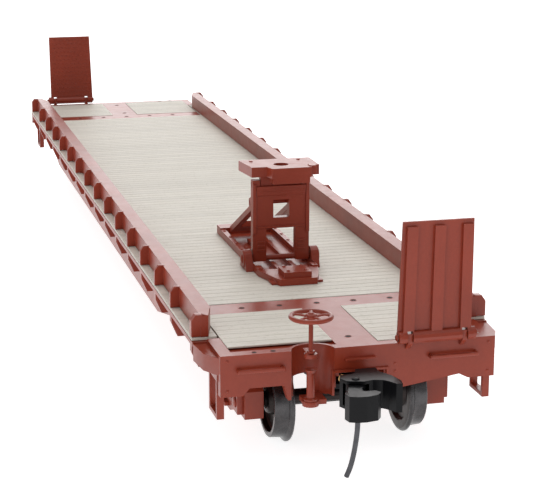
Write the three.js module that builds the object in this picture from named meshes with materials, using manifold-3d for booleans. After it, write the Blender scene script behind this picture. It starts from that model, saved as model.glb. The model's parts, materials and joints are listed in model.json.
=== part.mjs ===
// HO scale (1:87) model of a 53 ft 6 in cast-steel piggyback flat car, in millimetres.
// X runs along the car towards the hand-brake end (the B end), Y to its right-hand side, Z up.
// The origin is under the middle of the car, level with the bottoms of the wheel flanges.
import * as THREE from 'three';
import { mergeVertices } from 'three/addons/utils/BufferGeometryUtils.js';
import Module from 'manifold-3d';

const wasm = await Module();
wasm.setup();

// ---- driving dimensions ----
const SILL_X = 93.6;          // outer face of an end sill
const SILL_T = 1.4;           // thickness of an end sill
const SILL_Y = 17.15;         // half width over an end sill
const FLOOR_Z = 12.75;        // top of the cast floor, under the boards
const DECK_Z = 13.16;         // top of the boards
const PLATE_Z = 13.1;         // top of the metal plates set in the deck
const LIFT = 0.8;             // everything above the trucks is drawn this much below its place
const EDGE_Y = 18.95;         // half width over the deck edge, the gussets and the stake pockets
const GAP = 0.05;             // assembly gap between fixed pieces
const RAIL = { x: 85.76, inner: 15.82, outer: 17.78, low: 13.2, high: 15.9, chamfer: 3.67 };
const GUSSETS = 16;           // gussets and stake pockets on each side
const FIRST_PITCH = 13.64;    // from a rail end to the next gusset
const PITCH = (2 * RAIL.x - 2 * FIRST_PITCH) / (GUSSETS - 3);
const CROSS_PLATE = [72.2, 76.5];   // x range of the metal plate across each end of the deck
const CENTRE_STRIP_Y = 2.6;   // half width of the metal strip between the end deck panels
const TRUCK_X = 76.3;         // truck centre
const WHEELBASE = 19.3;
const AXLE_Z = 5.45;          // axle height, which is also the flange radius
const COUPLER_Z = 9.2;        // centre of the coupler
const COUPLER_PIVOT_X = 87.5;
const KNUCKLE_PIVOT = [99.2, -2.3];
const RECESS = { x: 93.9, y: -5.85, r: 2.7 };   // half-round recess for the hand brake
const STAFF = { x: 94.5, y: -6.4, r: 0.28 };
const BRIDGE = { x: 94.2, z: 13.95, low: 4.4, high: 14.3, top: 28.1, ears: [5.6, 12.5], earWidth: 0.6 };
const HITCH = { x: 55.5, z: 14.6, headZ: 25.1, braceX: 54.3, braceZ: 22.3, footX: 38.6, footZ: 14.9 };
const SPAN_Z = HITCH.braceZ - HITCH.footZ;
const SPAN_X = HITCH.braceX - HITCH.footX;

// ---- materials ----
const material = (color, roughness, metalness) =>
  new THREE.MeshStandardMaterial({ color, roughness, metalness });
const PAINT = material(0x823e32, 0.45, 0);
const BOARDS = material(0xcdc6b9, 0.8, 0);
const WHEEL_METAL = material(0x3a3330, 0.4, 0.8);
const BLACK = material(0x1c1c1e, 0.45, 0);
const STEEL = material(0x77777a, 0.4, 0.9);
const BRASS = material(0xb08a4a, 0.35, 0.9);

// ---- shape helpers ----
const AXIS_X = new THREE.Matrix4().makeBasis(
  new THREE.Vector3(0, 1, 0), new THREE.Vector3(0, 0, 1), new THREE.Vector3(1, 0, 0));

// An outline pushed along an axis: 'x' takes (y, z) points, 'y' takes (x, z) and 'z' takes (x, y).
function prism(axis, outline, low, high, holes = []) {
  const vectors = (points) => points.map(([a, b]) => new THREE.Vector2(a, b));
  const shape = new THREE.Shape(vectors(outline));
  for (const hole of holes) shape.holes.push(new THREE.Path(vectors(hole)));
  const result = new THREE.ExtrudeGeometry(shape, { depth: high - low, bevelEnabled: false });
  if (axis === 'x') result.applyMatrix4(AXIS_X).translate(low, 0, 0);
  if (axis === 'y') result.rotateX(Math.PI / 2).translate(0, high, 0);
  if (axis === 'z') result.translate(0, 0, low);
  return result;
}

function arc(a, b, radius, from, to, steps) {
  const points = [];
  for (let i = 0; i <= steps; i += 1) {
    const angle = THREE.MathUtils.degToRad(from + (to - from) * i / steps);
    points.push([a + radius * Math.cos(angle), b + radius * Math.sin(angle)]);
  }
  return points;
}

const circle = (a, b, radius, steps = 12) => arc(a, b, radius, 0, 360 * (1 - 1 / steps), steps - 1);
const rod = (axis, radius, low, high, a, b, steps = 12) =>
  prism(axis, circle(a, b, radius, steps), low, high);
const box = (x0, x1, y0, y1, z0, z1) =>
  new THREE.BoxGeometry(x1 - x0, y1 - y0, z1 - z0)
    .translate((x0 + x1) / 2, (y0 + y1) / 2, (z0 + z1) / 2);
const turned = (geometry) => geometry.clone().rotateZ(Math.PI);
const mirrorX = (points) => [...points, ...points.map(([a, b]) => [-a, b]).reverse()];

// A profile of (radius, y) points turned about the Y axis.
function lathe(profile, steps) {
  const points = profile.map(([r, y]) => new THREE.Vector2(r, y));
  return new THREE.LatheGeometry(points, steps);
}

// A round bar that follows a smooth curve through the points.
function bar(points, radius, steps) {
  const path = new THREE.CatmullRomCurve3(points.map((p) => new THREE.Vector3(...p)));
  const section = new THREE.Shape(circle(0, 0, radius, 8).map(([a, b]) => new THREE.Vector2(a, b)));
  return new THREE.ExtrudeGeometry(section, { steps, extrudePath: path, bevelEnabled: false });
}

// ---- joining and cutting ----
function solid(geometry) {
  const bare = geometry.clone();
  bare.deleteAttribute('normal');
  bare.deleteAttribute('uv');
  const merged = mergeVertices(bare, 1e-4);
  const made = (order) => new wasm.Manifold(new wasm.Mesh({
    numProp: 3, vertProperties: merged.attributes.position.array, triVerts: order }));
  const order = new Uint32Array(merged.index.array);
  const first = made(order);
  return first.volume() > 0 ? first : made(order.reverse());
}

function geometryOf(manifold) {
  const mesh = manifold.getMesh();
  const result = new THREE.BufferGeometry();
  result.setAttribute('position', new THREE.BufferAttribute(mesh.vertProperties, 3));
  result.setIndex(new THREE.BufferAttribute(mesh.triVerts, 1));
  return result;
}

const join = (...parts) => geometryOf(parts.map(solid).reduce((all, next) => all.add(next)));
const cut = (base, ...tools) =>
  geometryOf(tools.map(solid).reduce((all, next) => all.subtract(next), solid(base)));

const car = new THREE.Group();
const upper = new THREE.Group();
upper.position.z = LIFT;
car.add(upper);
function add(name, geometry, look, parent = upper) {
  const mesh = new THREE.Mesh(geometryOf(solid(geometry)), look);
  mesh.name = name;
  parent.add(mesh);
}

// ---- cast body ----
const gussetX = [-RAIL.x + 0.6, RAIL.x - 0.6];
for (let i = 0; i < GUSSETS - 2; i += 1) gussetX.push(-RAIL.x + FIRST_PITCH + i * PITCH);

function bodyEnd(hasBrake) {
  const sill = prism('x', [
    [-SILL_Y, 8], [-14.4, 8], [-13.6, 8.9], [-9.4, 8.9], [-8.9, 7], [-3.2, 7], [-3.2, 10],
    [3.2, 10], [3.2, 7.5], [5.4, 7.5], [12.6, 8.6], [13.8, 8], [SILL_Y, 8],
    [SILL_Y, PLATE_Z], [-SILL_Y, PLATE_Z]], SILL_X - SILL_T, SILL_X);
  const parts = [
    sill,
    box(CROSS_PLATE[0], CROSS_PLATE[1], -15.65, 15.65, 12.5, PLATE_Z),
    box(76.4, 92.4, -CENTRE_STRIP_Y, CENTRE_STRIP_Y, 12.5, PLATE_Z),
    box(73.5, 79.1, -15.4, 15.4, 10.9, 12),
    rod('z', 1.6, 8.6, 11, TRUCK_X, 0, 16),
    box(84, SILL_X - 0.1, -3.7, 3.7, 10.25, 12.4),
    box(84, 85, -3.7, 3.7, 8.1, 10.4),
    box(84, SILL_X - 0.1, -3.7, -3, 8.1, 10.4),
    box(84, SILL_X - 0.1, 3, 3.7, 8.1, 10.4),
    rod('z', 0.8, 8.1, 10.4, COUPLER_PIVOT_X, 0),
  ];
  for (const side of [-1, 1]) {
    const [inner, outer] = side < 0 ? [-SILL_Y, -15.6] : [15.6, SILL_Y];
    const wing = [[86.4, 17.1], [92.9, 17.1], [90.4, 18.5], [86.4, 18.9]];
    parts.push(box(86.4, 92.4, inner, outer, 12.5, PLATE_Z));
    parts.push(prism('z', wing.map(([x, y]) => [x, side * y]), 10.5, 12.6));
  }
  const cuts = [
    rod('z', 0.8, 8.5, 10.95, TRUCK_X, 0),
    rod('z', 0.38, 8, 9.9, COUPLER_PIVOT_X, 0),
    box(80, SILL_X + 0.1, -3, 3, 8.1, 8.15),
  ];
  if (hasBrake) {
    parts.push(box(90.6, SILL_X - 0.1, -9.2, -2.6, 9.5, FLOOR_Z));
    parts.push(box(90.6, SILL_X - 0.1, -5.1, -3.75, 6.9, 9.6));
    const rim = prism('z', arc(RECESS.x, RECESS.y, RECESS.r + 0.35, 100, 260, 16), 12.5, PLATE_Z);
    parts.push(rim);
    cuts.push(rod('z', RECESS.r, 6, 14, RECESS.x, RECESS.y, 24));
  }
  const cast = cut(join(...parts), ...cuts);
  if (!hasBrake) return cast;
  const { x, y } = STAFF;
  const feet = [box(92.3, x, -7.2, -4.4, 6.5, 7.1), box(90.8, x, -5.1, -4.4, 6.5, 7.1),
    rod('z', 1, 6.5, 7.1, x, y, 16)];
  const column = lathe([[0, 6.6], [0.5, 6.6], [0.5, 10.6], [0.9, 11.2], [0.9, 12], [0.6, 12.2], [0, 12.2]], 16)
    .rotateX(Math.PI / 2).translate(x, y, 0);
  return join(cast, ...feet, column);
}

const sideSill = mirrorX([[-92.3, FLOOR_Z - 0.3], [-92.3, 9.6], [-64, 9.6], [-54, 7.4]]);
const centreSill = mirrorX([[-72, 12.4], [-72, 9.6], [-60, 7.2]]);
const bodyParts = [
  bodyEnd(true),
  turned(bodyEnd(false)),
  box(-92.4, 92.4, -SILL_Y, SILL_Y, 11.4, FLOOR_Z),
  box(-86.3, 86.3, -EDGE_Y, EDGE_Y, 12.2, FLOOR_Z),
  prism('y', sideSill, 15.3, 17.3),
  prism('y', sideSill, -17.3, -15.3),
  prism('y', centreSill, -3.4, 3.4),
];
for (const x of [-50, -36, -22, 22, 36, 50]) {
  bodyParts.push(box(x - 0.4, x + 0.4, -15.4, 15.4, 9.9, 11.6));   // cross-bearers
}
for (const x of gussetX) {
  for (const side of [-1, 1]) {
    const pocket = [[17.2, 12.5], [18.9, 12.5], [18.9, 11.3], [18.1, 9.4], [17.2, 9.4]];
    bodyParts.push(prism('x', pocket.map(([y, z]) => [side * y, z]), x - 0.55, x + 0.55));
  }
}
const WEIGHT = { x: 60, y: 11, low: 11.8 };
const carBody = cut(join(...bodyParts),
  box(-WEIGHT.x, WEIGHT.x, -WEIGHT.y, WEIGHT.y, WEIGHT.low, 13),
  rod('z', RECESS.r, 11, 14, RECESS.x, RECESS.y, 24));
add('car_body', carBody, PAINT);
add('ballast_weight', box(-WEIGHT.x + GAP, WEIGHT.x - GAP, -WEIGHT.y + GAP, WEIGHT.y - GAP,
  WEIGHT.low + GAP, FLOOR_Z - GAP), STEEL);

// ---- deck ----
const deckQuarter = [[-72.1, 15.75], [-85.7, 15.75], [-85.7, EDGE_Y - 0.05]];
const deckHalf = mirrorX(deckQuarter);
const deckOutline = [...deckHalf, ...deckHalf.map(([x, y]) => [-x, -y])];
add('deck_boards', prism('z', deckOutline, FLOOR_Z + GAP, DECK_Z), BOARDS);

const ends = { b: new THREE.Group(), a: new THREE.Group() };
ends.a.rotation.z = Math.PI;
upper.add(ends.b, ends.a);
for (const [end, group] of Object.entries(ends)) {
  for (const side of ['left', 'right']) {
    const [low, high] = side === 'left' ? [-15.57, -2.63] : [2.63, 15.57];
    let panel = box(76.53, 92.17, low, high, FLOOR_Z + GAP, DECK_Z);
    if (end === 'b' && side === 'left') {
      panel = cut(panel, rod('z', RECESS.r + 0.45, 12, 14, RECESS.x, RECESS.y, 24));
    }
    add(`end_deck_${end}_${side}`, panel, BOARDS, group);
  }
}

// ---- side rails with their gussets ----
function sideRail(side) {
  const half = [[-RAIL.x, RAIL.outer], [-RAIL.x, RAIL.inner + 1], [-RAIL.x + RAIL.chamfer, RAIL.inner]];
  const outline = mirrorX(half).map(([x, y]) => [x, side * y]);
  const gusset = [[17.6, 0.05], [18.95, 0.05], [18.95, 2], [18.4, 2.76], [17.6, 2.76]];
  const parts = [prism('z', outline, RAIL.low, RAIL.high)];
  gussetX.forEach((x, i) => {
    const thick = i < 2 ? 0.55 : 0.3;
    const face = gusset.map(([y, z]) => [side * y, RAIL.low + z]);
    parts.push(prism('x', face, x - thick, x + thick));
  });
  return join(...parts);
}
add('side_rail_left', sideRail(-1), PAINT);
add('side_rail_right', sideRail(1), PAINT);

// ---- end fittings: steps, grab irons, coupler box lid, bridge plate ----
const U = (a0, a1, b0, b1, t) => [
  [a0, b1], [a0, b0], [a1, b0], [a1, b1], [a1 - t, b1], [a1 - t, b0 + t], [a0 + t, b0 + t], [a0 + t, b1]];

function grabIron(low, high) {
  const plan = U(low, high, SILL_X + GAP, SILL_X + 0.9, 0.42).map(([y, x]) => [x, y]);
  const [root, tip] = [SILL_X + GAP, SILL_X + 0.9];
  return prism('z', plan.map(([x, y]) => [root + tip - x, y]), 11, 11.45);
}

function bridgePlate() {
  const { x, z, low, high, top, ears, earWidth } = BRIDGE;
  const middle = (low + high) / 2;
  const plate = prism('x', [[low + 0.05, z], [high - 0.6, z], [high - 0.5, top], [low + 0.5, top]],
    x - 0.42, x - 0.05);
  const ribs = [[0.06, 0.2], [0.42, 0.56], [0.79, 0.93]].map(([from, to]) => {
    const lean = (fraction) => (1 - fraction) * 0.35;
    const at = (fraction) => low + fraction * (high - low);
    return prism('x', [[at(from), z], [at(to), z], [at(to) + lean(to), top - 0.6],
      [at(from) + lean(from), top - 0.6]], x - 0.1, x + 0.4);
  });
  const barrel = prism('y', circle(x, z, 0.78, 12), middle - 4.85, middle + 4.85);
  const slots = ears.map((y) => box(x - 1.2, x + 1.2, y - GAP, y + earWidth + GAP, z - 1.2, z + 0.8));
  return cut(join(plate, ...ribs, barrel), rod('y', 0.38, low - 1, high + 1, x, z), ...slots);
}

function hingeBracket() {
  const { x, z, low, high, ears, earWidth } = BRIDGE;
  const ear = [[SILL_X + GAP, 12.3], [x + 0.5, 13.2], [x + 0.5, z + 0.5], [x - 0.5, z + 0.5],
    [SILL_X + GAP, 13.6]];
  return join(rod('y', 0.3, low - 0.05, high + 0.05, x, z),
    ...ears.map((y) => prism('y', ear, y, y + earWidth)));
}

for (const [end, group] of Object.entries(ends)) {
  for (const [side, sign] of [['left', -1], ['right', 1]]) {
    const [low, high] = sign < 0 ? [-17.25, -16.35] : [16.35, 17.25];
    add(`sill_step_${end}_${side}`, prism('y', U(87.6, 92, 4.7, 9.55, 0.55), low, high), PAINT, group);
  }
  add(`grab_iron_${end}_left`, grabIron(-15.2, -9.4), PAINT, group);
  add(`grab_iron_${end}_right`, grabIron(8.6, 14.8), PAINT, group);
  add(`coupler_box_lid_${end}`, prism('z', [[84, -3.6], [92.1, -3.6], [92.1, 3.6], [84, 3.6]],
    7.4, 8.05, [circle(COUPLER_PIVOT_X, 0, 0.42)]), BLACK, group);
  add(`coupler_box_screw_${end}`, lathe([[0, 6.6], [0.85, 6.6], [0.85, 7.3], [0.3, 7.3],
    [0.3, 9.8], [0, 9.8]], 12).rotateX(Math.PI / 2).translate(COUPLER_PIVOT_X, 0, 0), STEEL, group);
  add(`bridge_plate_${end}`, bridgePlate(), PAINT, group);
  add(`bridge_plate_hinge_${end}`, hingeBracket(), PAINT, group);
}

// ---- couplers ----
function couplerHead() {
  const z = COUPLER_Z;
  const shank = prism('z', [...arc(COUPLER_PIVOT_X, 0, 1.7, 47, 313, 12), [95.8, -1.25], [95.8, 1.25]],
    z - 0.8, z + 0.8, [circle(COUPLER_PIVOT_X, 0, 0.95)]);
  const head = prism('z', [
    [95.6, -1.25], [96.9, -1.7], [97.2, -2], [97.3, -3.6], [98.4, -4], [99.6, -3.5], [100.2, -1.6],
    [99.9, -0.4], [100.2, 0.7], [100.9, 1.3], [101.9, 1.8], [102.1, 2.5], [100.9, 2.7], [98.8, 2.2],
    [97.2, 1.25], [95.6, 1.25]], z - 1.75, z + 1.75);
  const [px, py] = KNUCKLE_PIVOT;
  const mouth = [rod('z', 1.5, z - 1.35, z + 1.35, px, py, 20),
    box(px, px + 2, -4.5, -0.9, z - 1.35, z + 1.35)];
  return join(cut(join(shank, head), ...mouth), rod('z', 0.3, z - 1.5, z + 1.5, px, py));
}

function knuckle() {
  const [px, py] = KNUCKLE_PIVOT;
  const [low, high] = [COUPLER_Z - 1.3, COUPLER_Z + 1.3];
  const arm = prism('z', [...arc(px, py, 1.2, 50, 300, 10), [102.4, -4.2], [102.4, -2.3], [101.4, -2.2]],
    low, high, [circle(px, py, 0.38)]);
  const hook = prism('z', [[101.4, -4.1], [102.6, -4.6], [103.7, -4.4], [104.1, -3.6], [104.2, -2.4],
    [103.9, -1], [103, -0.4], [102.3, -0.8], [102.2, -2.2], [101.4, -2.5]], low - 0.5, high);
  return join(arm, hook);
}

const tripPin = bar([[102.2, -2.9, 7.33], [102.2, -2.95, 5.8], [102.1, -3.1, 4.2], [101.9, -3.3, 2.6],
  [101.7, -3.6, 1.1], [101.5, -4, -0.1]], 0.33, 14);
for (const [end, group] of Object.entries(ends)) {
  add(`coupler_head_${end}`, couplerHead(), BLACK, group);
  add(`coupler_knuckle_${end}`, knuckle(), BLACK, group);
  add(`trip_pin_${end}`, tripPin, STEEL, group);
  add(`knuckle_spring_${end}`, rod('x', 0.6, 95.1, 96.9, -2.75, COUPLER_Z + 0.6), BRASS, group);
}

// ---- hand brake ----
function brakeWheel() {
  const low = 17.2;
  const rim = prism('z', circle(0, 0, 2.68, 24), low, low + 0.55, [circle(0, 0, 2.1, 24)]);
  const spokes = [0, 72, 144, 216, 288].map((angle) =>
    box(0.2, 2.3, -0.22, 0.22, low + 0.12, low + 0.45).rotateZ(THREE.MathUtils.degToRad(angle)));
  const wheel = join(rim, rod('z', 0.7, low, low + 0.65, 0, 0), ...spokes);
  return cut(wheel, rod('z', STAFF.r + 0.06, 16, 19, 0, 0)).translate(STAFF.x, STAFF.y, 0);
}
add('brake_wheel', brakeWheel(), PAINT);
add('brake_staff', lathe([[0, 12.3], [STAFF.r, 12.3], [STAFF.r, 13.02], [0.5, 13.02], [0.5, 13.3],
  [STAFF.r, 13.3], [STAFF.r, 18], [0, 18]], 12).rotateX(Math.PI / 2).translate(STAFF.x, STAFF.y, 0), PAINT);
const bracket = join(rod('z', 0.8, 12.45, 12.95, STAFF.x, STAFF.y, 16),
  box(92.2, STAFF.x, STAFF.y - 0.4, STAFF.y + 0.4, 12.45, 12.95));
add('brake_staff_bracket', cut(bracket, rod('z', STAFF.r + 0.08, 12, 13, STAFF.x, STAFF.y)), PAINT);

// ---- air brake gear under the floor ----
const tank = (radius, x0, x1, y, z) => lathe([[0, x0], [radius * 0.6, x0], [radius, x0 + 0.9],
  [radius, x1 - 0.9], [radius * 0.6, x1], [0, x1]], 16).rotateZ(-Math.PI / 2).translate(0, y, z);
add('brake_cylinder', join(tank(2, -7, 5, 8.6, 9.3), rod('x', 0.35, 4, 9, 8.6, 9.3)), PAINT);
add('air_reservoir', tank(2, -16, 0, -8.6, 9.3), PAINT);
add('control_valve', join(box(8, 11, -10, -7.4, 8, 11.35), rod('y', 0.9, -11, -6.6, 9.5, 8.9)), PAINT);
add('brake_rod', rod('x', 0.3, 9.2, 62, 6.4, 9.3, 8), PAINT);

// ---- trailer hitch ----
function hitchBase() {
  const { x, z } = HITCH;
  const low = DECK_Z + 0.04;
  const ear = [[x - 2, low], [x + 2, low], [x + 1, z + 0.9], [x - 1, z + 0.9]];
  const parts = [box(34, 65, -3.6, 3.6, low, low + 0.3), box(34, 36.4, -4.3, 4.3, low, 14.5),
    box(34, 60, -4.3, -3.5, low, 14.3), box(34, 60, 3.5, 4.3, low, 14.3),
    box(42, 62, -1.5, -0.9, low, 14.1), box(42, 62, 0.9, 1.5, low, 14.1),
    prism('z', [[60, -4.3], [63.5, -3.4], [65.8, -2.6], [65.8, 2.6], [63.5, 3.4], [60, 4.3]], low, 14.1),
    box(61.8, 65.4, -1.9, 1.9, low, 14.9),
    prism('y', ear, -5.3, -4.25), prism('y', ear, 4.25, 5.3)];
  return cut(join(...parts), rod('y', 0.48, -6, 6, x, z), box(x - 1.2, x + 2.8, -4.2, -1.6, low + 0.3, z + 1),
    box(x - 1.2, x + 2.8, 1.6, 4.2, low + 0.3, z + 1));
}

function hitchStrut() {
  const { x, z, headZ, braceX, braceZ } = HITCH;
  const outline = [[2.1, z - 0.4], [4.05, z - 0.4], [4.05, headZ + 0.7], [3, headZ + 0.7], [3, 24.38]];
  const left = outline.map(([y, height]) => [-y, height]).reverse();
  const window = [[-1.1, 20.4], [-1.1, 22.9], [1.2, 22.9], [1.2, 20.4]];
  const panel = prism('x', [...left, [-2.1, 18.9], [2.1, 18.9], ...outline], x - 0.6, x + 0.6);
  const lug = [[x - 0.5, braceZ - 1], [braceX - 0.6, braceZ - 0.5], [braceX - 0.6, braceZ + 0.5],
    [x - 0.5, braceZ + 1]];
  const whole = join(panel, prism('y', lug, 3.4, 4.05), prism('y', lug, -4.05, -3.4),
    rod('y', 0.4, -5.2, 5.2, x, z));
  return cut(whole, prism('x', window, x - 1, x + 1), rod('y', 0.43, -5, 5, x, headZ),
    rod('y', 0.36, -5, 5, braceX, braceZ));
}

function hitchHead() {
  const { x, headZ } = HITCH;
  const plan = [[52, -5.1], [57.4, -4.5], [57.4, -2.4], [58.9, -2], [58.9, 3.6], [57.4, 4], [57.4, 5.1],
    [52, 5.1]];
  const plate = prism('z', plan, 26.5, 27.9, [circle(x + 0.5, 0, 1.05, 16)]);
  return join(plate, box(x - 0.45, x + 0.45, -2.9, 2.9, headZ - 0.48, 26.7),
    box(57.5, 58.9, -1.8, 3.4, 25.7, 26.7), rod('y', 0.35, -4, 4, x, headZ));
}

function hitchBrace() {
  const { braceX, braceZ } = HITCH;
  const length = Math.hypot(SPAN_X, SPAN_Z);
  const half = 0.42;
  const arms = [-1, 1].map((side) => {
    const [low, high] = side < 0 ? [-3.2, -2.3] : [2.3, 3.2];
    return box(0, length, low, high, -half, half);
  });
  const whole = join(...arms, box(length - 3, length + 0.4, -3.2, 3.2, -half, half),
    rod('y', 0.3, -4, 4, 0, 0));
  return whole.rotateY(Math.PI - Math.atan2(SPAN_Z, SPAN_X)).translate(braceX, 0, braceZ);
}
add('hitch_base', hitchBase(), PAINT);
add('hitch_strut', hitchStrut(), PAINT);
add('hitch_head', hitchHead(), PAINT);
add('hitch_brace', hitchBrace(), PAINT);

// ---- trucks ----
function truckFrame() {
  const half = WHEELBASE / 2;
  const side = mirrorX([[-3, 9.4], [-4.2, 8.9], [-7.4, 7.9], [-11.4, 7.7], [-11.7, 7.2], [-11.7, 3.7],
    [-7.8, 3.7], [-7.5, 4.5], [-3.6, 2.2]]);
  const hole = [[-4.2, 7.6], [-6.9, 6.9], [-6.9, 5.6], [-4.2, 3.9]];
  const holes = [hole, hole.map(([x, z]) => [-x, z]).reverse()];
  const parts = [prism('y', side, 10.5, 12.9, holes), prism('y', side, -12.9, -10.5, holes),
    box(-2.4, 2.4, -10.6, 10.6, 6.4, 9.2), rod('z', 3, 9, 11.4, 0, 0, 20)];
  const cuts = [rod('z', 1.75, 6, 12, 0, 0, 16)];
  for (const x of [-half, half]) cuts.push(rod('y', 0.86, -12.4, 12.4, x, AXLE_Z));
  return cut(join(...parts), ...cuts);
}

const wheelProfile = [[1.12, 7.25], [5, 7.25], [AXLE_Z, 7.6], [4.85, 8.05], [4.72, 9.75], [4.1, 9.75],
  [3.9, 8.8], [1.9, 8.8], [1.7, 9.9], [1.12, 9.9], [1.12, 7.25]];
const axleProfile = [[0, -12.1], [0.7, -11.2], [0.7, -10.1], [1, -10.1], [1, 10.1], [0.7, 10.1],
  [0.7, 11.2], [0, 12.1]];
for (const [end, sign] of [['b', 1], ['a', -1]]) {
  const truck = new THREE.Group();
  truck.position.x = sign * TRUCK_X;
  car.add(truck);
  add(`truck_frame_${end}`, truckFrame(), PAINT, truck);
  add(`truck_screw_${end}`, lathe([[0, 5], [2.2, 5], [2.2, 6.3], [0.7, 6.3], [0.7, 11.6], [0, 11.6]], 12)
    .rotateX(Math.PI / 2), STEEL, truck);
  for (const [place, offset] of [['outer', sign * WHEELBASE / 2], ['inner', -sign * WHEELBASE / 2]]) {
    const wheelset = new THREE.Group();
    wheelset.position.set(offset, 0, AXLE_Z);
    truck.add(wheelset);
    add(`axle_${end}_${place}`, lathe(axleProfile, 12), WHEEL_METAL, wheelset);
    add(`wheel_${end}_${place}_right`, lathe(wheelProfile, 20), WHEEL_METAL, wheelset);
    add(`wheel_${end}_${place}_left`, lathe(wheelProfile.map(([r, y]) => [r, -y]), 20), WHEEL_METAL,
      wheelset);
  }
}

export default car;
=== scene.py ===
"""Looks for the HO scale piggyback flat car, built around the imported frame."""
import json
import math

import bmesh
import bpy
from mathutils import Euler, Matrix, Vector


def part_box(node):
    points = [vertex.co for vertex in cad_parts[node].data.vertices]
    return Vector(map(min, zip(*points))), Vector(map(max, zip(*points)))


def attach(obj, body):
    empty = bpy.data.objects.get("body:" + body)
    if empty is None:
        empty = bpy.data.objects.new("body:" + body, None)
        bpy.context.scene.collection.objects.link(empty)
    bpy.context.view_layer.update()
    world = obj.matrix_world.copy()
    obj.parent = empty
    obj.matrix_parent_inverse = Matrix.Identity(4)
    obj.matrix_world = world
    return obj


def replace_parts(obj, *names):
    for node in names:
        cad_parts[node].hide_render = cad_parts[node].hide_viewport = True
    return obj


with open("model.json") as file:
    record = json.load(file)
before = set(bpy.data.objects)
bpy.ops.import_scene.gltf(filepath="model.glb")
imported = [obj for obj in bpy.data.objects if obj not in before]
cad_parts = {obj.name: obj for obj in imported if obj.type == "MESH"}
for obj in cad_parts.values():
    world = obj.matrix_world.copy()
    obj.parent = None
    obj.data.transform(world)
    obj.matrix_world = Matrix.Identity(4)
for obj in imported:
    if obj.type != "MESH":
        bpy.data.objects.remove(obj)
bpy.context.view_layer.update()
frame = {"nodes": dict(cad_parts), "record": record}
MM = 0.001
LIFT = 0.8  # the car rides this much above the height that its details are drawn at
NODES = frame["nodes"]
BODY_OF = {n: b for b, names in frame["record"]["behaviour"]["bodies"].items() for n in names}
ENDS = (("b", 1), ("a", -1))

# Places that the details share, in mm, before the lift
TRUCK_X, AXLE_OFFSET, AXLE_Z = 76.3, 9.65, 5.45
TRUCK_FACE = 12.9  # outer face of a truck side frame
DECK_PLATE_TOP = 13.1
SILL_FACE = 93.6
STAFF = (94.5, -6.4)
RECESS = (93.9, -5.85, 3.15)  # centre and radius of the boards' cut around the hand brake
BRIDGE_PIVOT = (94.2, 13.95)
HITCH_PIVOT = (55.5, 14.6)
KNUCKLE_PIN = (99.2, -2.3, 10.94)


# ---- materials ----
def new_material(name, color, roughness, metallic=0.0):
    """A material with a Principled shader: returns the material, its nodes, links and shader."""
    made = bpy.data.materials.new(name)
    made.use_nodes = True
    tree = made.node_tree
    shader = tree.nodes["Principled BSDF"]
    shader.inputs["Base Color"].default_value = (*color, 1)
    shader.inputs["Roughness"].default_value = roughness
    shader.inputs["Metallic"].default_value = metallic
    return made, tree, shader


def noise(tree, scale, detail=4.0, stretch=(1, 1, 1)):
    """Noise in the object's own coordinates, which are metres."""
    place = tree.nodes.new("ShaderNodeTexCoord")
    mapping = tree.nodes.new("ShaderNodeMapping")
    mapping.inputs["Scale"].default_value = stretch
    texture = tree.nodes.new("ShaderNodeTexNoise")
    texture.inputs["Scale"].default_value = scale
    texture.inputs["Detail"].default_value = detail
    tree.links.new(place.outputs["Object"], mapping.inputs["Vector"])
    tree.links.new(mapping.outputs["Vector"], texture.inputs["Vector"])
    return texture.outputs["Fac"]


def ramp(tree, source, stops):
    """A colour ramp from (position, colour) stops."""
    node = tree.nodes.new("ShaderNodeValToRGB")
    elements = node.color_ramp.elements
    elements[0].position, elements[1].position = stops[0][0], stops[-1][0]
    elements[0].color, elements[1].color = (*stops[0][1], 1), (*stops[-1][1], 1)
    for position, color in stops[1:-1]:
        elements.new(position).color = (*color, 1)
    tree.links.new(source, node.inputs["Fac"])
    return node.outputs["Color"]


def mix(tree, factor, first, second, mode="MIX"):
    node = tree.nodes.new("ShaderNodeMix")
    node.data_type = "RGBA"
    node.blend_type = mode
    tree.links.new(first, node.inputs[6])
    tree.links.new(second, node.inputs[7])
    if isinstance(factor, float):
        node.inputs[0].default_value = factor
    else:
        tree.links.new(factor, node.inputs[0])
    return node.outputs[2]


def vary_roughness(tree, shader, source, low, high):
    node = tree.nodes.new("ShaderNodeMapRange")
    node.inputs["To Min"].default_value = low
    node.inputs["To Max"].default_value = high
    tree.links.new(source, node.inputs["Value"])
    tree.links.new(node.outputs["Result"], shader.inputs["Roughness"])


def add_bump(tree, shader, source, strength, distance):
    node = tree.nodes.new("ShaderNodeBump")
    node.inputs["Strength"].default_value = strength
    node.inputs["Distance"].default_value = distance
    tree.links.new(source, node.inputs["Height"])
    tree.links.new(node.outputs["Normal"], shader.inputs["Normal"])


def tinted(color, factor):
    return tuple(min(1.0, c * factor) for c in color)


def paint(name, color, roughness=0.34, shine=0.36, gloss=0.04):
    """Semi-gloss paint on moulded plastic: soft mottling and a fine grain."""
    made, tree, shader = new_material(name, color, roughness)
    broad = ramp(tree, noise(tree, 120), [(0.3, tinted(color, 0.86)), (0.7, tinted(color, 1.12))])
    fine_noise = noise(tree, 2600, 6)
    fine = ramp(tree, fine_noise, [(0.35, (0.88, 0.88, 0.88)), (0.65, (1, 1, 1))])
    tree.links.new(mix(tree, 0.6, broad, fine, "MULTIPLY"), shader.inputs["Base Color"])
    vary_roughness(tree, shader, noise(tree, 700), roughness - 0.06, roughness + 0.08)
    add_bump(tree, shader, noise(tree, 5200, 3), 0.16, 0.00004)
    shader.inputs["Specular IOR Level"].default_value = shine
    shader.inputs["Coat Weight"].default_value = gloss
    shader.inputs["Coat Roughness"].default_value = 0.22
    return made


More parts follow.
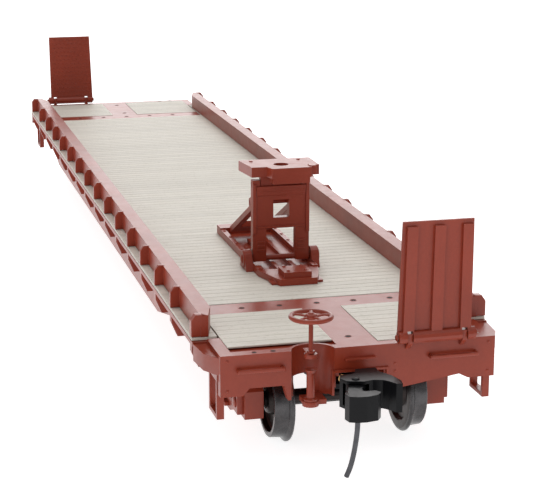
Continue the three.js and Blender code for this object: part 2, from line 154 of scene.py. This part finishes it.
def boards(name, color, pitch):
    """Flat board paint: a tone for each board, grain along it and a light speckle."""
    made, tree, shader = new_material(name, color, 0.6)
    place = tree.nodes.new("ShaderNodeTexCoord")
    split = tree.nodes.new("ShaderNodeSeparateXYZ")
    tree.links.new(place.outputs["Object"], split.inputs["Vector"])
    board = tree.nodes.new("ShaderNodeMath")
    board.operation = "DIVIDE"
    board.inputs[1].default_value = pitch * MM
    tree.links.new(split.outputs["X"], board.inputs[0])
    whole = tree.nodes.new("ShaderNodeMath")
    whole.operation = "FLOOR"
    tree.links.new(board.outputs[0], whole.inputs[0])
    chance = tree.nodes.new("ShaderNodeTexWhiteNoise")
    chance.noise_dimensions = "1D"
    tree.links.new(whole.outputs[0], chance.inputs["W"])
    tone = ramp(tree, chance.outputs["Value"], [(0, tinted(color, 0.95)), (1, tinted(color, 1.04))])
    grain = ramp(tree, noise(tree, 260, 8, (9, 0.7, 9)), [(0.3, (0.9, 0.89, 0.87)), (0.62, (1, 1, 1))])
    speckle = ramp(tree, noise(tree, 2100, 5), [(0.3, (0.72, 0.7, 0.66)), (0.42, (1, 1, 1))])
    grained = mix(tree, 0.8, tone, grain, "MULTIPLY")
    tree.links.new(mix(tree, 0.55, grained, speckle, "MULTIPLY"), shader.inputs["Base Color"])
    vary_roughness(tree, shader, noise(tree, 900), 0.5, 0.66)
    add_bump(tree, shader, noise(tree, 420, 8, (9, 0.7, 9)), 0.25, 0.00005)
    return made


def metal(name, color, roughness, spread=0.1, scale=900):
    made, tree, shader = new_material(name, color, roughness, 0.9)
    tone = ramp(tree, noise(tree, scale), [(0.3, tinted(color, 0.75)), (0.7, tinted(color, 1.2))])
    tree.links.new(tone, shader.inputs["Base Color"])
    vary_roughness(tree, shader, noise(tree, scale * 2), roughness - spread, roughness + spread)
    add_bump(tree, shader, noise(tree, 4200), 0.1, 0.00003)
    return made


BOARD_PITCH = 144.2 / 84
RED = paint("oxide_red_paint", (0.285, 0.038, 0.016), 0.32)
DECK = boards("deck_board_paint", (0.69, 0.65, 0.575), BOARD_PITCH)
BLACKENED = metal("blackened_wheel_metal", (0.032, 0.026, 0.025), 0.38)
TREAD = metal("worn_tread_metal", (0.075, 0.072, 0.074), 0.27)
COUPLER = paint("coupler_black", (0.006, 0.006, 0.007), 0.3, 0.16, 0.0)
STEEL = metal("plain_steel", (0.085, 0.085, 0.092), 0.34)
BRASS = metal("spring_brass", (0.72, 0.46, 0.2), 0.28, 0.06)
# near-black paint for the discs in the deck plate holes: painted shade, not a colour that the plastic has
PAINTED_HOLE_SHADE = paint("shadowed_hole", (0.02, 0.008, 0.006), 0.7)
LOOKS = {"body_paint": RED, "deck_wood": DECK, "wheel_metal": BLACKENED,
         "coupler_black": COUPLER, "steel": STEEL, "brass": BRASS}
SLOT_OF = {s["node"]: s["material_slot"] for s in frame["record"]["subparts"]}


# ---- mesh helpers, in millimetres ----
def piece(name, verts, faces, look, body, smooth=40):
    """A mesh piece that rides on a body. look is one material, or a list with one index a face."""
    looks, index = (look if isinstance(look, tuple) else ([look], None))
    mesh = bpy.data.meshes.new(name)
    mesh.from_pydata([Vector(v) * MM for v in verts], [], faces)
    for material in looks:
        mesh.materials.append(material)
    if index:
        mesh.polygons.foreach_set("material_index", index)
    return finish_piece(name, mesh, body, smooth)


def finish_piece(name, mesh, body, smooth):
    work = bmesh.new()
    work.from_mesh(mesh)
    bmesh.ops.remove_doubles(work, verts=work.verts, dist=1e-7)
    bmesh.ops.recalc_face_normals(work, faces=work.faces)
    work.to_mesh(mesh)
    work.free()
    mesh.polygons.foreach_set("use_smooth", [smooth > 0] * len(mesh.polygons))
    if smooth > 0:
        mesh.set_sharp_from_angle(angle=math.radians(smooth))
    made = bpy.data.objects.new(name, mesh)
    bpy.context.scene.collection.objects.link(made)
    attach(made, body)
    return made


def bevel(obj, width, segments=2, angle=32):
    modifier = obj.modifiers.new("soft_edges", "BEVEL")
    modifier.width = width * MM
    modifier.segments = segments
    modifier.limit_method = "ANGLE"
    modifier.angle_limit = math.radians(angle)
    weighted = obj.modifiers.new("flat_faces", "WEIGHTED_NORMAL")
    weighted.weight = 100
    weighted.keep_sharp = True
    return obj


def refined(node, width, look=None, smooth=32):
    """A CAD node's own shape with clean faces and rounded edges."""
    work = bmesh.new()
    work.from_mesh(NODES[node].data)
    bmesh.ops.remove_doubles(work, verts=work.verts, dist=2e-7)
    mesh = bpy.data.meshes.new(node + "_fine")
    work.to_mesh(mesh)
    work.free()
    mesh.materials.append(look or LOOKS[SLOT_OF[node]])
    made = finish_piece(node + "_fine", mesh, BODY_OF[node], smooth)
    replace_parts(made, node)
    return bevel(made, width)


class Shape:
    """Gathers several simple closed forms in one mesh."""

    def __init__(self):
        self.verts, self.faces, self.index = [], [], []

    def add(self, verts, faces, index=0, place=None):
        start = len(self.verts)
        self.verts += [tuple(place @ Vector(v)) if place else tuple(v) for v in verts]
        self.faces += [tuple(start + i for i in face) for face in faces]
        self.index += index if isinstance(index, list) else [index] * len(faces)

    def loft(self, rings, closed=False, index=0, place=None):
        """Skins equal rings of points, with flat caps unless the rings close on themselves."""
        count, sides = len(rings), len(rings[0])
        faces = []
        for i in range(count if closed else count - 1):
            for j in range(sides):
                after, beside = (i + 1) % count, (j + 1) % sides
                faces.append((i * sides + j, i * sides + beside, after * sides + beside, after * sides + j))
        if not closed:
            faces += [tuple(range(sides))[::-1], tuple((count - 1) * sides + j for j in range(sides))]
        self.add([v for ring in rings for v in ring], faces, index, place)

    def revolve(self, profile, steps, indices=None, place=None):
        """Turns closed (radius, height) points about Z."""
        count = len(profile)
        verts, faces, index = [], [], []
        for i in range(steps):
            turn = 2 * math.pi * i / steps
            verts += [(r * math.cos(turn), r * math.sin(turn), h) for r, h in profile]
            for j in range(count):
                after, beside = (i + 1) % steps, (j + 1) % count
                faces.append((i * count + j, after * count + j, after * count + beside, i * count + beside))
                index.append(indices[j] if indices else 0)
        self.add(verts, faces, index, place)

    def dome(self, radius, height, place, steps=16, rows=5):
        """A closed round head on a flat base, such as a rivet or a pin end."""
        rings = []
        for i in range(rows):
            lift = 0.5 * math.pi * i / rows
            rings.append([(radius * math.cos(lift) * math.cos(2 * math.pi * j / steps),
                           radius * math.cos(lift) * math.sin(2 * math.pi * j / steps),
                           height * math.sin(lift)) for j in range(steps)])
        self.loft(rings, place=place)

    def tube(self, path, radius, sides=10):
        """A round bar through a list of points."""
        points = [Vector(p) for p in path]
        rings, side = [], None
        for i, point in enumerate(points):
            along = (points[min(i + 1, len(points) - 1)] - points[max(i - 1, 0)]).normalized()
            if side is None:
                side = along.orthogonal().normalized()
            side = (side - along * side.dot(along)).normalized()
            across = along.cross(side)
            rings.append([tuple(point + radius * (side * math.cos(2 * math.pi * j / sides)
                                                  + across * math.sin(2 * math.pi * j / sides)))
                          for j in range(sides)])
        self.loft(rings)

    def box(self, low, high):
        x0, y0, z0 = low
        x1, y1, z1 = high
        ring = [(x0, y0), (x1, y0), (x1, y1), (x0, y1)]
        self.loft([[(x, y, z) for x, y in ring] for z in (z0, z1)])

    def make(self, name, look, body, slot, smooth=40, end=1, lift=0.0):
        verts = [(end * x, end * y, z + lift) for x, y, z in self.verts]
        looks = (look, self.index) if isinstance(look, list) else look
        return piece(name, verts, self.faces, looks, body, smooth)


def box_mm(node):
    low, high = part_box(node)
    return low / MM, high / MM


def helix(start, axis, length, radius, turns, steps=14):
    """Points of a coil that starts at a point and runs along a unit axis."""
    along = Vector(axis).normalized()
    side = along.orthogonal().normalized()
    across = along.cross(side)
    count = int(turns * steps)
    return [Vector(start) + along * (length * i / count)
            + radius * (side * math.cos(2 * math.pi * i / steps) + across * math.sin(2 * math.pi * i / steps))
            for i in range(count + 1)]


# ---- camera, floor and light ----
def camera():
    data = bpy.data.cameras.new("view")
    data.sensor_width = 36
    data.lens = 111.95
    data.shift_x, data.shift_y = -0.0040, 0.0280
    data.clip_start, data.clip_end = 0.01, 20
    made = bpy.data.objects.new("view", data)
    bpy.context.scene.collection.objects.link(made)
    made.location = (0.27421, -0.05714, 0.07368)
    forward = Vector((-0.9373, 0.2382, -0.2546))
    made.rotation_euler = forward.to_track_quat("-Z", "Y").to_euler()
    bpy.context.scene.camera = made


def floor():
    mesh = bpy.data.meshes.new("floor")
    mesh.from_pydata([(-4, -4, 0), (4, -4, 0), (4, 4, 0), (-4, 4, 0)], [], [(0, 1, 2, 3)])
    made, _, shader = new_material("white_floor", (0.6, 0.6, 0.61), 0.75)
    shader.inputs["Emission Color"].default_value = (1, 1, 1, 1)
    shader.inputs["Emission Strength"].default_value = 0.85
    mesh.materials.append(made)
    plane = bpy.data.objects.new("floor", mesh)
    bpy.context.scene.collection.objects.link(plane)


def area_light(name, place, aim, size, power):
    data = bpy.data.lights.new(name, "AREA")
    data.shape, data.size, data.energy = "SQUARE", size, power
    made = bpy.data.objects.new(name, data)
    bpy.context.scene.collection.objects.link(made)
    made.location = place
    made.rotation_euler = (Vector(aim) - Vector(place)).to_track_quat("-Z", "Y").to_euler()


def studio():
    world = bpy.data.worlds.new("studio")
    world.use_nodes = True
    world.node_tree.nodes["Background"].inputs["Color"].default_value = (1, 0.99, 1, 1)
    world.node_tree.nodes["Background"].inputs["Strength"].default_value = 0.42
    bpy.context.scene.world = world
    area_light("top_light", (-0.1, 0.05, 0.8), (0, 0, 0), 0.9, 3.4)
    area_light("back_light", (-1.3, 0.33, 0.4), (0, 0, 0.02), 1.0, 6.5)
    area_light("front_fill", (0.55, -0.5, 0.35), (0.09, 0, 0.01), 0.35, 0.5)
    bpy.context.scene.view_settings.view_transform = "Standard"


# ---- deck ----
GROOVE = 0.038  # half the gap between two boards
BOARDS_PAST_WEIGHT = 12.15  # how far the main boards run past the ballast weight


def plank_run(shape, x0, x1, y0, y1, low, top, count):
    """Boards across the car from x0 to x1, each with eased long edges."""
    pitch = (x1 - x0) / count
    for i in range(count):
        a, b = x0 + i * pitch + GROOVE, x0 + (i + 1) * pitch - GROOVE
        ease, drop = 0.05, 0.045
        section = [(a, low + 0.16), (a, top - drop), (a + ease, top), (b - ease, top), (b, top - drop),
                   (b, low + 0.16)]
        shape.loft([[(x, y, z) for x, z in section] for y in (y0, y1)])
    shape.box((x0, y0, low), (x1, y1, low + 0.2))


def deck():
    """Separate boards in place of the plain deck and of the four end panels."""
    low, high = box_mm("deck_boards")
    shape = Shape()
    main = box_mm("ballast_weight")[1][0] + BOARDS_PAST_WEIGHT
    plank_run(shape, -main, main, low[1], high[1], low[2], high[2], 84)
    strip = -box_mm("side_rail_right")[0][1] + 0.05
    strips = round((high[0] - main) / BOARD_PITCH)
    for y0, y1 in ((low[1], strip), (-strip, high[1])):
        plank_run(shape, main + 0.01, high[0], y0, y1, low[2], high[2], strips)
        plank_run(shape, low[0], -main - 0.01, y0, y1, low[2], high[2], strips)
    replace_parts(shape.make("deck_planks", DECK, "car", "deck_wood", 0), "deck_boards")
    for end, _ in ENDS:
        for side in ("left", "right"):
            node = f"end_deck_{end}_{side}"
            low, high = box_mm(node)
            shape = Shape()
            plank_run(shape, low[0], high[0], low[1], high[1], low[2], high[2], 9)
            made = shape.make(node + "_planks", DECK, "car", "deck_wood", 0)
            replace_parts(made, node)
            if node == "end_deck_b_left":
                round_notch(made)


def round_notch(obj):
    """Cuts the boards back around the hand brake's recess."""
    x, y, radius = RECESS
    cutter = Shape()
    ring = [(x + radius * math.cos(math.pi * i / 24), y + radius * math.sin(math.pi * i / 24))
            for i in range(48)]
    cutter.loft([[(a, b, z) for a, b in ring] for z in (11, 15)])
    tool = cutter.make("notch_tool", DECK, "car", "deck_wood", 0)
    modifier = obj.modifiers.new("notch", "BOOLEAN")
    modifier.object = tool
    modifier.solver = "EXACT"
    bpy.context.view_layer.update()
    evaluated = obj.evaluated_get(bpy.context.evaluated_depsgraph_get())
    mesh = bpy.data.meshes.new_from_object(evaluated)
    obj.modifiers.clear()
    obj.data = mesh
    bpy.data.objects.remove(tool)


# ---- wheels ----
# (radius, distance from the middle of the axle) around one wheel, from the bore outwards
WHEEL_PROFILE = [
    (1.02, 7.2), (1.9, 7.2), (2.1, 7.32), (2.35, 7.75), (3.7, 7.75), (3.95, 7.4), (4.1, 7.27),
    (5.05, 7.27), (5.3, 7.36), (5.42, 7.55), (5.4, 7.75), (5.15, 7.95), (4.95, 8.05), (4.85, 8.25),
    (4.78, 8.9), (4.73, 9.62), (4.62, 9.74), (4.2, 9.75), (4.08, 9.66), (3.9, 9.1), (3.6, 8.85),
    (2.4, 8.8), (2.0, 8.95), (1.75, 9.6), (1.62, 9.75), (1.2, 9.8), (1.02, 9.72)]
TREAD_SPAN = range(7, 18)  # the points of the flange and tread, which wear bright


def wheels():
    """Turned wheels with a rounded flange, a dished plate and a bright tread."""
    indices = [1 if j in TREAD_SPAN else 0 for j in range(len(WHEEL_PROFILE))]
    for node in sorted(NODES):
        if not node.startswith("wheel_"):
            continue
        low, high = box_mm(node)
        centre = (low + high) / 2
        side = 1 if centre[1] > 0 else -1
        turn = Euler((-side * math.pi / 2, 0, 0)).to_matrix().to_4x4()
        place = Matrix.Translation((centre[0], 0, centre[2])) @ turn
        shape = Shape()
        shape.revolve(WHEEL_PROFILE, 56, indices, place)
        made = shape.make(node + "_turned", [BLACKENED, TREAD], BODY_OF[node], "wheel_metal", 28)
        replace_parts(made, node)


# ---- hand brake ----
def hand_brake():
    """A cast wheel with a round rim and dished spokes, and the nut on its staff."""
    low, high = box_mm("brake_wheel")
    centre = (low + high) / 2
    height = high[2] - low[2]
    shape = Shape()
    mid = low[2] + height / 2 - 0.05
    outer = (high[0] - low[0]) / 2
    thick, tall = 0.3, 0.27
    rim = [(outer - thick + thick * math.cos(2 * math.pi * i / 12),
            mid + tall * math.sin(2 * math.pi * i / 12)) for i in range(12)]
    place = Matrix.Translation((centre[0], centre[1], 0))
    shape.revolve(rim, 48, place=place)
    bore = 0.34
    hub = [(bore, low[2] + 0.02), (0.62, low[2] + 0.02), (0.78, low[2] + 0.2), (0.74, high[2] - 0.16),
           (0.55, high[2] - 0.02), (bore, high[2] - 0.02)]
    shape.revolve(hub, 32, place=place)
    for i in range(5):
        turn = place @ Matrix.Rotation(math.radians(72 * i + 20), 4, "Z")
        rings = []
        for step in range(7):
            share = step / 6
            x = 0.6 + share * (outer - thick - 0.55)
            half = 0.3 - 0.1 * math.sin(math.pi * share)
            dip = 0.1 * math.sin(math.pi * share)
            rings.append([(x, half * math.cos(2 * math.pi * k / 8),
                           mid + dip + 0.15 * math.sin(2 * math.pi * k / 8)) for k in range(8)])
        shape.loft(rings, place=turn)
    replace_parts(shape.make("brake_wheel_cast", RED, "hand_brake", "body_paint", 50), "brake_wheel")
    tip = Shape()
    staff_high = box_mm("brake_staff")[1][2]
    tip.dome(0.42, 0.2, Matrix.Translation((centre[0], centre[1], staff_high - 0.2)))
    tip.make("brake_staff_nut", RED, "hand_brake", "body_paint")


# ---- bridge plates ----
def bridge_tread():
    """Raised diamonds on the face that a trailer rolls over, and the heads of the hinge pin."""
    low, high = box_mm("bridge_plate_b")
    hinge_low, hinge_high = box_mm("bridge_plate_hinge_b")
    pivot_x, pivot_z = BRIDGE_PIVOT
    wide, tall, proud, inset = 0.36, 0.2, 0.07, 0.95
    for end, sign in ENDS:
        face = low[0] + 0.3
        rows, columns = 15, 9
        shape = Shape()
        for row in range(rows):
            z = low[2] + 1.9 + row * (high[2] - low[2] - 2.6) / (rows - 1)
            for column in range(columns + row % 2):
                step = (high[1] - low[1] - 2 * inset) / columns
                y = low[1] + inset + (column + 0.5 * (1 - row % 2)) * step
                base = [(face + 0.01, y - wide, z), (face + 0.01, y, z - tall), (face + 0.01, y + wide, z),
                        (face + 0.01, y, z + tall)]
                top = [(face - proud, y + (b - y) * 0.5, z + (c - z) * 0.5) for _, b, c in base]
                shape.loft([base, top])
        shape.make(f"bridge_tread_{end}", RED, f"bridge_plate_{end}", "body_paint", 0, sign)
        bolts = Shape()
        for y, facing in ((hinge_low[1], 1), (hinge_high[1], -1)):
            turn = Matrix.Rotation(facing * math.pi / 2, 4, "X")
            bolts.dome(0.42, 0.22, Matrix.Translation((pivot_x, y, pivot_z)) @ turn)
        bolts.make(f"bridge_hinge_pin_heads_{end}", RED, "car", "body_paint", 40, sign, LIFT)


# ---- couplers ----
def couplers():
    """A coil in place of each knuckle spring, and the head of each knuckle pin."""
    for end, sign in ENDS:
        low, high = box_mm("knuckle_spring_b")
        centre = (low + high) / 2
        spring = Shape()
        start = (low[0] + 0.1, centre[1], centre[2])
        spring.tube(helix(start, (1, 0, 0), high[0] - low[0] - 0.2, 0.4, 5), 0.09, 8)
        made = spring.make(f"knuckle_spring_coil_{end}", BRASS, f"coupler_{end}", "brass", 60, sign)
        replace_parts(made, f"knuckle_spring_{end}")
        pin = Shape()
        pin.dome(0.5, 0.22, Matrix.Translation(KNUCKLE_PIN))
        pin.make(f"knuckle_pin_head_{end}", COUPLER, f"coupler_{end}", "coupler_black", 40, sign, LIFT)


# ---- hitch ----
def hitch_details():
    """Bearing bosses and bolts on the base, ribs on the strut and rivets on the head."""
    shape = Shape()
    x, z = HITCH_PIVOT
    for side in (-1, 1):
        turn = Matrix.Rotation(-side * math.pi / 2, 4, "X")
        boss = [(0.52, 4.27), (1.3, 4.27), (1.3, 5.3), (1.12, 5.46), (0.52, 5.46)]
        shape.revolve(boss, 24, place=Matrix.Translation((x, 0, z)) @ turn)
        shape.dome(0.7, 0.3, Matrix.Translation((x, side * 5.4, z)) @ turn)
    for bolt_x in (37.6, 41.4, 45.2, 49):
        for side in (-1, 1):
            shape.dome(0.26, 0.16, Matrix.Translation((bolt_x, side * 3.9, 14.29)), 10, 3)
    for bolt_x, y in ((62.2, -1.2), (62.2, 1.2), (64.5, -1.2), (64.5, 1.2)):
        shape.dome(0.28, 0.18, Matrix.Translation((bolt_x, y, 14.89)), 10, 3)
    shape.make("hitch_base_bolts", RED, "car", "body_paint", lift=LIFT)
    strut = Shape()
    front = 56.08
    for side in (-1, 1):
        y0, y1 = sorted((side * 3.55, side * 4.05))
        strut.box((front, y0, 18.2), (56.32, y1, 25.3))
        rung0, rung1 = sorted((side * 2.3, side * 3.4))
        for rung_z in (15.7, 16.3, 16.9):
            strut.box((front, rung0, rung_z), (56.26, rung1, rung_z + 0.25))
    strut.box((front, -3.5, 23.6), (56.3, 3.5, 24.36))
    strut.box((56.2, -3.5, 24.2), (56.38, 3.5, 24.95))
    strut.box((front, -3.5, 18.95), (56.26, 3.5, 19.25))
    bevel(strut.make("hitch_strut_ribs", RED, "hitch_strut", "body_paint", 30, lift=LIFT), 0.05)
    head = Shape()
    for y in (-3.6, 3.2):
        head.dome(0.3, 0.14, Matrix.Translation((53.2, y, 27.89)), 12, 3)
    head.box((57.2, 3.5, 26.7), (58.3, 4.45, 28.0))
    bevel(head.make("hitch_head_details", RED, "hitch_head", "body_paint", 30, lift=LIFT), 0.05)


# ---- trucks ----
def truck_details():
    """Coil springs, spring seats and journal box lids on the outer face of each side frame."""
    for end, sign in ENDS:
        centre = sign * TRUCK_X
        springs, castings = Shape(), Shape()
        for side in (-1, 1):
            face = side * TRUCK_FACE
            for x in (-1.7, 0, 1.7):
                foot = (centre + x, face + side * 0.25, 3.1)
                springs.tube(helix(foot, (0, 0, 1), 3.6, 0.62, 5, 12), 0.17, 6)
            y0, y1 = sorted((face - side * 0.05, face + side * 0.55))
            castings.box((centre - 2.9, y0, 2.5), (centre + 2.9, y1, 3.05))
            castings.box((centre - 2.9, y0, 6.75), (centre + 2.9, y1, 7.5))
            for offset in (-AXLE_OFFSET, AXLE_OFFSET):
                x = centre + offset
                lid0, lid1 = sorted((face - side * 0.05, face + side * 0.75))
                castings.box((x - 1.25, lid0, 4.1), (x + 1.25, lid1, 6.9))
                turn = Matrix.Rotation(-side * math.pi / 2, 4, "X")
                tip = lid1 if side > 0 else lid0
                castings.dome(0.75, 0.3, Matrix.Translation((x, tip, AXLE_Z)) @ turn)
        springs.make(f"truck_springs_{end}", RED, f"truck_{end}", "body_paint", 60)
        bevel(castings.make(f"truck_castings_{end}", RED, f"truck_{end}", "body_paint", 30), 0.12)


# ---- body details ----
def hole_marks():
    """Blind holes in the metal deck plates, each a countersunk ring around a thin near-black disc: painted
    shade that stands for the hole's depth.
    """
    for end, sign in ENDS:
        shape = Shape()
        spots = [(74.4, y, 0.38) for y in (-10, -5, 0, 5, 10)] + [(89.5, -0.3, 0.38), (79, -0.3, 0.38)]
        spots += [(92.95, -12.9, 0.3), (92.95, -10.6, 0.34), (92.95, 11.6, 0.3)]
        for x, y, radius in spots:
            ring = [(radius * 1.25, 0), (radius * 1.12, 0.03), (radius, 0.02), (radius * 0.92, 0.0)]
            place = Matrix.Translation((x, y, DECK_PLATE_TOP))
            shape.revolve(ring, 20, [0] * 4, place)
            # a thin disc in the painted shade look stands for the dark inside of the hole
            disc = [(radius * 0.95 * math.cos(2 * math.pi * k / 20),
                     radius * 0.95 * math.sin(2 * math.pi * k / 20)) for k in range(20)]
            shape.loft([[(a, b, h) for a, b in disc] for h in (0, 0.012)], index=1, place=place)
        shape.make(f"deck_plate_holes_{end}", [RED, PAINTED_HOLE_SHADE], "car", "body_paint", 40, sign, LIFT)


def body_details():
    """The bolt on the staff bracket, the sill's rivets and the frame around the coupler opening."""
    column = Shape()
    column.dome(0.32, 0.26, Matrix.Translation((94.66, -6.86, 12.93)))
    collar = [(0.5, 7.05), (0.86, 7.08), (0.86, 7.35), (0.5, 7.5)]
    column.revolve(collar, 20, place=Matrix.Translation((*STAFF, 0)))
    column.make("brake_column_bolt", RED, "car", "body_paint", lift=LIFT)
    for end, sign in ENDS:
        sill = Shape()
        turn = Matrix.Rotation(math.pi / 2, 4, "Y")
        for y in (-16.3, 16.3):
            for z in (8.7, 12.4):
                sill.dome(0.22, 0.12, Matrix.Translation((SILL_FACE - 0.01, y, z)) @ turn, 10, 3)
        for z in (8.6, 9.6, 10.6):
            for y in (-4.2, 4.4):
                if not (end == "b" and y < 0):
                    sill.dome(0.2, 0.1, Matrix.Translation((SILL_FACE - 0.01, y, z)) @ turn, 10, 3)
        y0, y1, top, edge = -3.25, 3.25, 10.0, 0.3
        root, proud = SILL_FACE - 0.05, SILL_FACE + 0.25
        sill.box((root, y1, 7.6), (proud, y1 + edge, top + edge))
        sill.box((root, y0 - edge, 7.2), (proud, y0, top + edge))
        sill.box((root, y0, top), (proud, y1, top + edge))
        sill.box((root, -1.9, 11.5), (SILL_FACE + 0.55, 1.9, 11.75))
        bevel(sill.make(f"end_sill_details_{end}", RED, "car", "body_paint", 30, sign, LIFT), 0.05)


def fine_parts():
    """Rounded edges on every CAD node that has no shape of its own here."""
    widths = {"car_body": 0.1, "side_rail": 0.1, "hitch": 0.12, "bridge_plate": 0.07, "coupler_head": 0.22,
              "coupler_knuckle": 0.22, "truck_frame": 0.2, "sill_step": 0.08, "grab_iron": 0.12}
    skipped = ("wheel_", "deck_boards", "end_deck", "brake_wheel", "knuckle_spring", "ballast")
    for node in sorted(NODES):
        if node.startswith(skipped):
            continue
        width = next((w for start, w in widths.items() if node.startswith(start)), 0.06)
        refined(node, width)
    for slot in NODES["ballast_weight"].material_slots:
        slot.material = STEEL


camera()
floor()
studio()
deck()
wheels()
hand_brake()
bridge_tread()
couplers()
hitch_details()
truck_details()
hole_marks()
body_details()
fine_parts()
bpy.context.view_layer.update()
